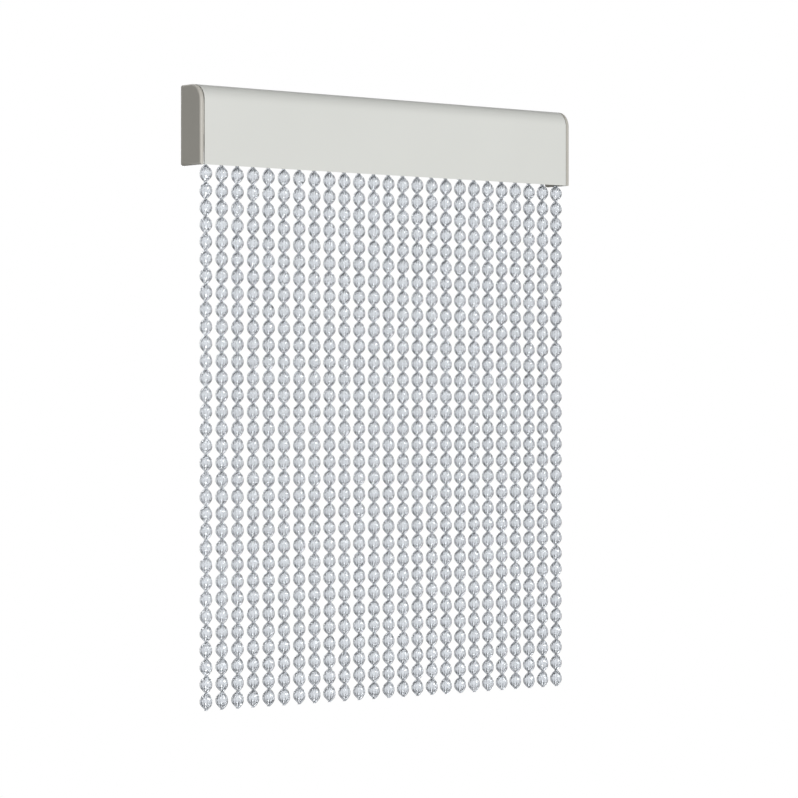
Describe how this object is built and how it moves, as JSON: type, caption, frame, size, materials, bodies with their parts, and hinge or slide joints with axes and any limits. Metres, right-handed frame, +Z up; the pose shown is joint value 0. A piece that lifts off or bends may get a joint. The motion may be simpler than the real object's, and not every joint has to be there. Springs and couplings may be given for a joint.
{
  "type": "spiral door curtain with headrail",
  "caption": "Spiral door curtain: twisted clear plastic ribbons hang side by side from a slotted, wall-mounted headrail with a rounded top and moulded end caps.",
  "frame": {"origin": "on the rail's back face, at the middle of its length and of its height, where the rail lies against the wall", "axes": "+Y points out of the back face into the wall, the front faces -Y, +Z is up and +X runs along the rail to its right end as seen from the front"},
  "size_m": [0.9, 0.062, 1.1284],
  "materials": {
    "rail": "satin",
    "cap": "fine matt",
    "strand": "clear, slightly milky"
  },
  "bodies": {
    "root": {"headrail": "rail", "end_cap_left": "cap", "end_cap_right": "cap", "strands_left": "strand", "strands_right": "strand"}
  },
  "joints": []
}
